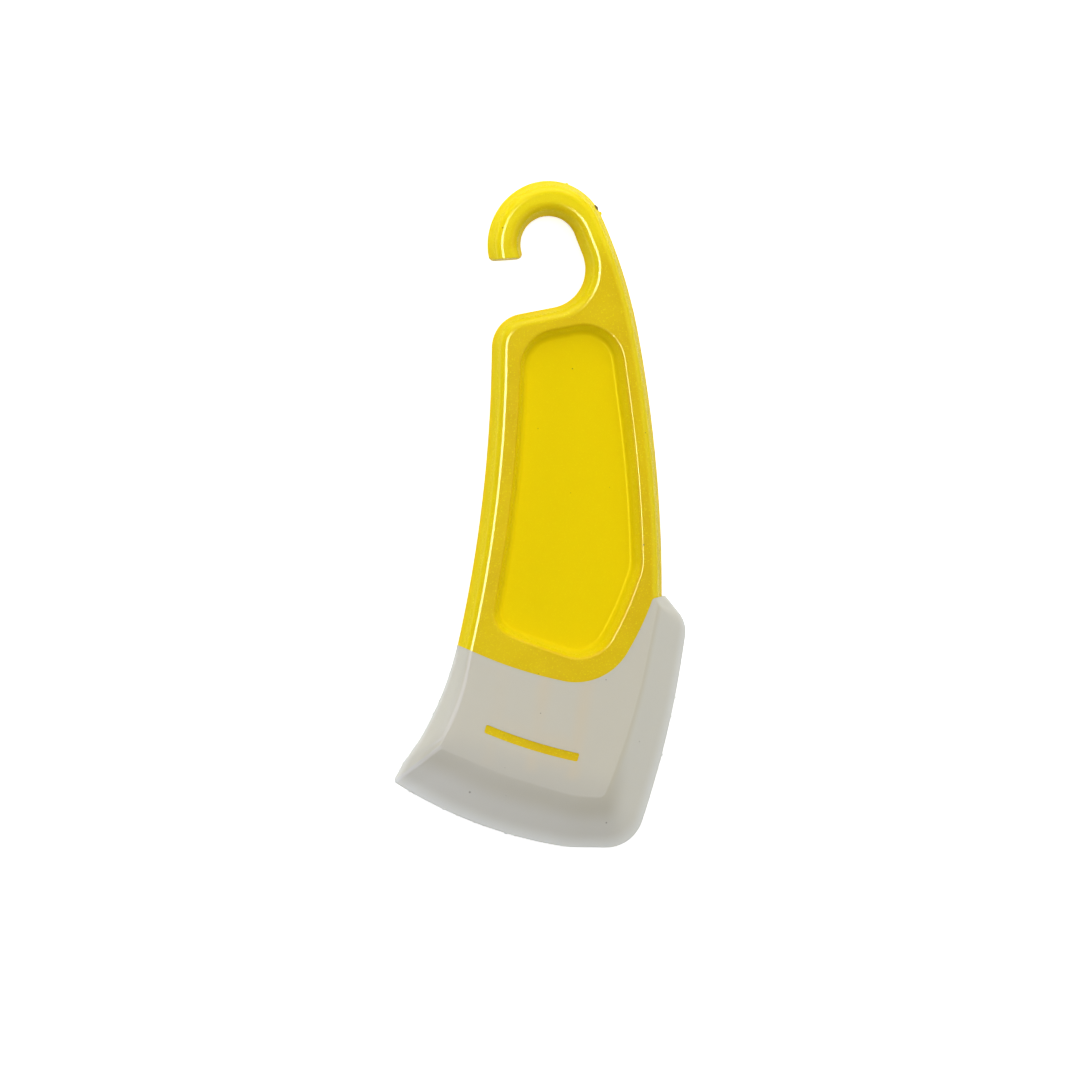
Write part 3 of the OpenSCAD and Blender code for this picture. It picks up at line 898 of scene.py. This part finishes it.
# Broken plastic of the gate stub
def breakMaterial(group):
    material, tree, surface = newMaterial("brokenPlastic")
    skinNode = useGroup(tree, group, Grain=1.5, Wave=1.0, Marks=0.0)
    base = mixColour(tree, skinNode.outputs["Gloss"], linear(60, 42, 20), linear(140, 112, 66))
    link(tree, base, surface.inputs["Base Color"])
    link(tree, spread(tree, skinNode.outputs["Gloss"], 0, 1, 0.4, 0.7), surface.inputs["Roughness"])
    link(tree, bump(tree, skinNode.outputs["Height"], 0.6, 0.0001), surface.inputs["Normal"])
    return material


bladeLook = {
    "colour": linear(196, 191, 171),
    # painted shade: brow and lip colours darken the lower lip, most near the crease, and a band of the
    # plateau above it
    "browShade": linear(183, 179, 163),
    "lip": linear(193, 191, 181),
    # painted light: the left roll and the right side, which face the side lamps, are coloured lighter
    "side": linear(202, 200, 188),
    # painted light: lighter where the silicone thins toward its edge, for the light showing through the
    # thin edge
    "thin": linear(214, 215, 210),
    "warm": linear(206, 188, 152),
    "speck": linear(96, 90, 78),
    "crease": (0.67, -0.0395),
    "browLine": (-0.298, -0.0604),
    "rough": 0.4,
    "subsurface": 0.25,
}


def bladeMaterial(group):
    material, tree, surface = newMaterial("bladeSilicone")
    where = nodeOf(tree, "ShaderNodeTexCoord").outputs["Object"]
    split = nodeOf(tree, "ShaderNodeSeparateXYZ")
    link(tree, where, split.inputs[0])
    rise = mathNode(tree, "ABSOLUTE", mathNode(tree, "SUBTRACT", split.outputs["Z"], mid / 1000))
    thin = spread(tree, rise, 0.0004, 0.0014, 1.0, 0.0)
    offTop = spread(tree, rise, 0.003, 0.00348, 1.0, 0.0)
    onLip = spread(tree, rise, 0.0018, 0.0029, 1.0, 0.0)
    crease = bladeLook["crease"]
    left = mathNode(tree, "MULTIPLY", split.outputs["X"], crease[0])
    left = mathNode(tree, "SUBTRACT", split.outputs["Y"], mathNode(tree, "ADD", left, crease[1]))
    low = spread(tree, left, 0.0005, 0.007, 1.0, 0.0)
    low = mathNode(tree, "MULTIPLY", low, spread(tree, split.outputs["X"], 0.014, 0.021, 1.0, 0.0))
    ribs = ribMask(tree, split)
    skinNode = useGroup(tree, group, Grain=0.6, Wave=0.8, Marks=1.0)
    # painted shade: a darker band on the plateau above its lower crease, and a lower lip darkest near the
    # crease and lighter toward the edge
    slant = mathNode(tree, "MULTIPLY", split.outputs["X"], bladeLook["browLine"][0])
    slant = mathNode(tree, "ADD", slant, bladeLook["browLine"][1])
    above = mathNode(tree, "SUBTRACT", split.outputs["Y"], slant)
    shade = mathNode(tree, "MULTIPLY", spread(tree, above, -0.0015, 0.007, 0.8, 0.0), low)
    below = mixColour(tree, onLip, bladeLook["browShade"], bladeLook["lip"])
    # painted light: off the plateau and away from the lower lip, the lighter side colour
    below = mixColour(tree, low, bladeLook["side"], below)
    base = mixColour(tree, shade, bladeLook["colour"], bladeLook["browShade"])
    base = mixColour(tree, offTop, base, below)
    # painted light: the thin edge coloured lighter
    base = mixColour(tree, thin, base, bladeLook["thin"])
    uneven = spread(tree, noise(tree, where, 45.0, 3.0, 0.5), 0.35, 0.7, 0.1, 0.45)
    base = mixColour(tree, mathNode(tree, "MULTIPLY", ribs, uneven), base, bladeLook["warm"])
    specks = mathNode(tree, "MULTIPLY", skinNode.outputs["Mark"], 0.6)
    base = mixColour(tree, specks, base, bladeLook["speck"])
    link(tree, base, surface.inputs["Base Color"])
    rough = mathNode(tree, "MULTIPLY", skinNode.outputs["Gloss"], 0.12)
    rough = mathNode(tree, "ADD", rough, bladeLook["rough"])
    link(tree, rough, surface.inputs["Roughness"])
    link(tree, bump(tree, skinNode.outputs["Height"], 0.4, 0.00007), surface.inputs["Normal"])
    surface.inputs["IOR"].default_value = 1.41
    surface.inputs["Specular IOR Level"].default_value = 0.35
    surface.inputs["Subsurface Weight"].default_value = bladeLook["subsurface"]
    surface.inputs["Subsurface Radius"].default_value = (1.0, 0.9, 0.7)
    surface.inputs["Subsurface Scale"].default_value = 0.0025
    return material


# The ribs show as warm shadows through the silicone
def ribMask(tree, split):
    along, across = ray(core["ribHeading"]), 1j * ray(core["ribHeading"])

    def component(direction, origin):
        x = mathNode(tree, "MULTIPLY", split.outputs["X"], direction.real)
        y = mathNode(tree, "MULTIPLY", split.outputs["Y"], direction.imag)
        away = dot(direction, origin + shift) / 1000
        return mathNode(tree, "SUBTRACT", mathNode(tree, "ADD", x, y), away)

    aside = component(across, ribLine(1))
    down = component(along, ribLine(1))
    pitch = core["ribPitch"] / 1000
    nearest = mathNode(tree, "PINGPONG", mathNode(tree, "ADD", aside, pitch * 10), pitch)
    nearest = mathNode(tree, "ABSOLUTE", nearest)
    half = core["ribWidth"] / 2000
    lines = spread(tree, mathNode(tree, "SUBTRACT", pitch, nearest), 0, half * 3.2, 1.0, 0.0)
    linesToo = spread(tree, nearest, 0, half * 3.2, 1.0, 0.0)
    lines = mathNode(tree, "MAXIMUM", lines, linesToo)
    span = spread(tree, mathNode(tree, "ABSOLUTE", aside), pitch * 1.3, pitch * 1.4, 1.0, 0.0)
    length = (abs(ribStop(1) - ribLine(1)) + core["ribPast"]) / 1000
    run = spread(tree, down, length - 0.001, length + 0.0015, 1.0, 0.0)
    shades = mathNode(tree, "MULTIPLY", mathNode(tree, "MULTIPLY", lines, span), run)
    barAlong = ray(core["barHeading"])
    barDown = mathNode(tree, "ABSOLUTE", component(1j * barAlong, core["barCentre"]))
    barAside = mathNode(tree, "ABSOLUTE", component(barAlong, core["barCentre"]))
    haze = spread(tree, barDown, 0.001, 0.006, 0.8, 0.0)
    haze = mathNode(tree, "MULTIPLY", haze, spread(tree, barAside, 0.008, 0.015, 1.0, 0.0))
    return mathNode(tree, "MAXIMUM", shades, haze)


# Path-following trim: a bead along a route, by Geometry Nodes
def beadTree():
    tree = bpy.data.node_groups.new("moulding bead", "GeometryNodeTree")
    tree.interface.new_socket("Geometry", in_out="INPUT", socket_type="NodeSocketGeometry")
    for label, value in (("Spacing", 0.0008), ("Radius", 0.00008)):
        socket = tree.interface.new_socket(label, in_out="INPUT", socket_type="NodeSocketFloat")
        socket.default_value = value
    tree.interface.new_socket("Material", in_out="INPUT", socket_type="NodeSocketMaterial")
    tree.interface.new_socket("Geometry", in_out="OUTPUT", socket_type="NodeSocketGeometry")
    start = nodeOf(tree, "NodeGroupInput", (-600, 0))
    end = nodeOf(tree, "NodeGroupOutput", (800, 0))
    toCurve = nodeOf(tree, "GeometryNodeMeshToCurve", (-400, 0))
    resample = nodeOf(tree, "GeometryNodeResampleCurve", (-200, 0), mode="LENGTH")
    profile = nodeOf(tree, "GeometryNodeCurvePrimitiveCircle", (-200, -200))
    profile.inputs["Resolution"].default_value = 6
    toMesh = nodeOf(tree, "GeometryNodeCurveToMesh", (0, 0))
    toMesh.inputs["Fill Caps"].default_value = True
    realize = nodeOf(tree, "GeometryNodeRealizeInstances", (200, 0))
    paint = nodeOf(tree, "GeometryNodeSetMaterial", (400, 0))
    link(tree, start.outputs["Geometry"], toCurve.inputs["Mesh"])
    link(tree, toCurve.outputs["Curve"], resample.inputs["Curve"])
    link(tree, start.outputs["Spacing"], resample.inputs["Length"])
    link(tree, start.outputs["Radius"], profile.inputs["Radius"])
    link(tree, resample.outputs["Curve"], toMesh.inputs["Curve"])
    link(tree, profile.outputs["Curve"], toMesh.inputs["Profile Curve"])
    link(tree, toMesh.outputs["Mesh"], realize.inputs["Geometry"])
    link(tree, realize.outputs["Geometry"], paint.inputs["Geometry"])
    link(tree, start.outputs["Material"], paint.inputs["Material"])
    link(tree, paint.outputs["Geometry"], end.inputs["Geometry"])
    return tree


# Flash nubs: small lumps scattered along a route, by Geometry Nodes
def nubTree():
    tree = bpy.data.node_groups.new("flash nubs", "GeometryNodeTree")
    tree.interface.new_socket("Geometry", in_out="INPUT", socket_type="NodeSocketGeometry")
    for label, value in (("Spacing", 0.001), ("Size", 0.0002), ("Chance", 0.3)):
        socket = tree.interface.new_socket(label, in_out="INPUT", socket_type="NodeSocketFloat")
        socket.default_value = value
    tree.interface.new_socket("Material", in_out="INPUT", socket_type="NodeSocketMaterial")
    tree.interface.new_socket("Geometry", in_out="OUTPUT", socket_type="NodeSocketGeometry")
    start = nodeOf(tree, "NodeGroupInput", (-700, 0))
    end = nodeOf(tree, "NodeGroupOutput", (900, 0))
    toCurve = nodeOf(tree, "GeometryNodeMeshToCurve", (-500, 0))
    resample = nodeOf(tree, "GeometryNodeResampleCurve", (-300, 0), mode="LENGTH")
    ball = nodeOf(tree, "GeometryNodeMeshIcoSphere", (-300, -200))
    ball.inputs["Radius"].default_value = 1.0
    ball.inputs["Subdivisions"].default_value = 2
    chance = nodeOf(tree, "FunctionNodeRandomValue", (-300, -400), data_type="BOOLEAN")
    chance.inputs["Seed"].default_value = 7
    size = nodeOf(tree, "FunctionNodeRandomValue", (-300, -600), data_type="FLOAT_VECTOR")
    size.inputs[0].default_value = (0.5, 0.5, 0.4)
    size.inputs[1].default_value = (1.3, 1.1, 0.8)
    size.inputs["Seed"].default_value = 11
    scale = nodeOf(tree, "ShaderNodeVectorMath", (-100, -600), operation="SCALE")
    scatter = nodeOf(tree, "GeometryNodeInstanceOnPoints", (100, 0))
    realize = nodeOf(tree, "GeometryNodeRealizeInstances", (300, 0))
    paint = nodeOf(tree, "GeometryNodeSetMaterial", (500, 0))
    link(tree, start.outputs["Geometry"], toCurve.inputs["Mesh"])
    link(tree, toCurve.outputs["Curve"], resample.inputs["Curve"])
    link(tree, start.outputs["Spacing"], resample.inputs["Length"])
    link(tree, start.outputs["Chance"], chance.inputs["Probability"])
    link(tree, size.outputs[0], scale.inputs[0])
    link(tree, start.outputs["Size"], scale.inputs["Scale"])
    link(tree, resample.outputs["Curve"], scatter.inputs["Points"])
    link(tree, chance.outputs[3], scatter.inputs["Selection"])
    link(tree, ball.outputs["Mesh"], scatter.inputs["Instance"])
    link(tree, scale.outputs["Vector"], scatter.inputs["Scale"])
    link(tree, scatter.outputs["Instances"], realize.inputs["Geometry"])
    link(tree, realize.outputs["Geometry"], paint.inputs["Geometry"])
    link(tree, start.outputs["Material"], paint.inputs["Material"])
    link(tree, paint.outputs["Geometry"], end.inputs["Geometry"])
    return tree


def grow(name, points, tree, values):
    bm = bmesh.new()
    verts = [bm.verts.new(place(p, 0)) for p in points]
    for a, b in zip(verts, verts[1:]):
        bm.edges.new((a, b))
    piece = addObject(name, bm)
    step = piece.modifiers.new("growth", "NODES")
    step.node_group = tree
    for item in tree.interface.items_tree:
        if item.in_out == "INPUT" and item.name in values:
            step[item.identifier] = values[item.name]
    plain(piece)
    piece.data.shade_smooth()
    return piece


details = {
    "partingRadius": 0.07,
    "nubSize": 0.46,
    "nubSpacing": 1.1,
    "nubChance": 0.45,
    "nubInset": 0.2,
    "gateAt": 12.9 + 70.6j,
    "gateSize": (0.75, 0.5, 1.2),
    "stepsAt": (5.8 + 76.1j, 14.4 + 69.4j),
}


def partingLine(tree, material):
    left, right = 0.5 - seam["left"], 0.5 - seam["right"]
    keep = [p for p in handleRing(0.02) if p.imag > left and not (p.real > 20 and p.imag < right)]
    first = next(i for i, p in enumerate(keep) if abs(keep[i - 1].real - p.real) > 15)
    route = keep[first:] + keep[:first]
    values = {"Spacing": 0.0006, "Radius": details["partingRadius"] / 1000, "Material": material}
    return grow("partingLine", route, tree, values)


def nubs(name, route, tree, material, chance):
    values = {
        "Spacing": details["nubSpacing"] / 1000,
        "Size": details["nubSize"] / 1000,
        "Chance": chance,
        "Material": material,
    }
    return grow(name, route, tree, values)


# Flash on the blade's edge, left of its lowest stretch and below its right corner
def bladeFlash(tree, material):
    rows = bladeRows()
    edge = inset([(row[0], row[1]) for row in rows], details["nubInset"])
    ring = rounded(edge, counts(edge))
    left = [p for p in ring if -32 < p.real < -1 and -74.5 < p.imag < -seam["left"] - 1]
    right = [p for p in ring if p.real > 18 and -71 < p.imag < -38]
    return [
        nubs("flashLeft", left, tree, material, details["nubChance"]),
        nubs("flashRight", right, tree, material, details["nubChance"]),
    ]


def nearestEdge(point):
    found = min(handleRing(0), key=lambda p: abs(p - point))
    return found + 0.25 * (hook["centre"] - found) / abs(hook["centre"] - found)


# Rough stub where the moulding's gate was broken off, and two small steps beside it
def gateStub():
    bm = bmesh.new()
    bmesh.ops.create_icosphere(bm, subdivisions=3, radius=1)
    rough = random.Random(5)
    at = nearestEdge(details["gateAt"])
    for vertex in bm.verts:
        grain = 0.85 + 0.3 * rough.random()
        x, y, z = (c * s * grain for c, s in zip(vertex.co, details["gateSize"]))
        vertex.co = place(at + complex(x, y) * ray(-50), z)
    return addObject("gateStub", bm)


# Light, floor and camera
light = {
    "world": 0.27,
    "ground": 0.6,
    "gleamColour": (0.62, 0.68, 1.0),
    "key": (-0.35, 0.0, 1.56, 1.4, 0.05, 7.6),
    "gleam": (-0.35, 0.0, 1.56, 0.9, 0.1, 56.0),
    "top": (0.05, 1.0, 0.55, 1.4, 0.9, 9.0),
    "left": (-0.8, 0.0, 0.1, 1.6, 0.2, 2.4),
    "right": (0.8, 0.0, 0.65, 1.2, 0.8, 3.0),
}
view = {
    "tilt": 10.1,
    "distance": 1.2,
    "frameHeight": 0.2484,
    "aim": (-0.00015, -0.00585),
}


def addLight(name):
    x, y, z, width, height, power = light[name]
    data = bpy.data.lights.new(name, "AREA")
    data.shape = "RECTANGLE"
    data.size = width
    data.size_y = height
    data.energy = power
    lamp = bpy.data.objects.new(name, data)
    if name == "gleam":  # seen in reflections only
        data.color = light["gleamColour"]
        lamp.visible_diffuse = False
    lamp.location = (x, y, z)
    lamp.rotation_euler = Vector((x, y, z)).to_track_quat("Z", "Y").to_euler()
    bpy.context.scene.collection.objects.link(lamp)


def setWorld():
    world = bpy.data.worlds.new("studio")
    bpy.context.scene.world = world
    world.use_nodes = True
    tree = world.node_tree
    background = tree.nodes["Background"]
    background.inputs["Color"].default_value = (1, 1, 1, 1)
    strength = mathNode(tree, "MULTIPLY", nodeOf(tree, "ShaderNodeLightPath").outputs["Is Camera Ray"],
                        1 - light["world"])
    link(tree, mathNode(tree, "ADD", strength, light["world"]), background.inputs["Strength"])


def addFloor():
    bm = bmesh.new()
    bmesh.ops.create_grid(bm, x_segments=1, y_segments=1, size=3)
    floor = addObject("floor", bm)
    material, tree, surface = newMaterial("paper")
    surface.inputs["Base Color"].default_value = (0.9, 0.9, 0.9, 1)
    surface.inputs["Roughness"].default_value = 0.9
    surface.inputs["Specular IOR Level"].default_value = 0.1
    surface.inputs["Emission Color"].default_value = (1, 1, 1, 1)
    path = nodeOf(tree, "ShaderNodeLightPath")
    white = mathNode(tree, "MULTIPLY", path.outputs["Is Camera Ray"], light["ground"])
    link(tree, white, surface.inputs["Emission Strength"])
    floor.data.materials.append(material)


def addCamera():
    tilt = math.radians(view["tilt"])
    data = bpy.data.cameras.new("camera")
    data.sensor_width = 36
    data.lens = 36 * view["distance"] / view["frameHeight"]
    camera = bpy.data.objects.new("camera", data)
    aimX, aimY = view["aim"]
    far = view["distance"]
    camera.location = (aimX - far * math.sin(tilt), aimY, mid / 1000 + far * math.cos(tilt))
    camera.rotation_euler = (0, -tilt, 0)
    bpy.context.scene.collection.objects.link(camera)
    bpy.context.scene.camera = camera


bpy.context.scene.view_settings.view_transform = "Standard"
addCamera()
setWorld()
addFloor()
for name in ("key", "gleam", "top", "left", "right"):
    addLight(name)
print("stage: camera, lights and floor")

skinNodes = skinGroup()
plastic = handleMaterial(skinNodes)
silicone = bladeMaterial(skinNodes)
print("stage: materials")

handlePiece = buildHandle()
handlePiece.data.materials.clear()
handlePiece.data.materials.append(plastic)
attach(handlePiece, "root")
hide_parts("handle")
print("stage: handle", len(handlePiece.data.polygons))

bladePiece = buildBlade()
bladePiece.data.materials.clear()
bladePiece.data.materials.append(silicone)
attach(bladePiece, "root")
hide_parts("blade")
print("stage: blade", len(bladePiece.data.polygons))

lumps = nubTree()
trim = bladeFlash(lumps, silicone)
for piece in trim:
    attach(piece, "root")
broken = breakMaterial(skinNodes)
stub = gateStub()
stub.data.materials.append(broken)
steps = [nearestEdge(p) for p in details["stepsAt"]]
ticks = [nubs("mouldingStep", [p - 0.3, p + 0.3], lumps, plastic, 1.0) for p in steps]
for piece in [stub] + ticks:
    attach(piece, "root")
beads = beadTree()
parting = partingLine(beads, plastic)
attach(parting, "root")
print("stage: trim")
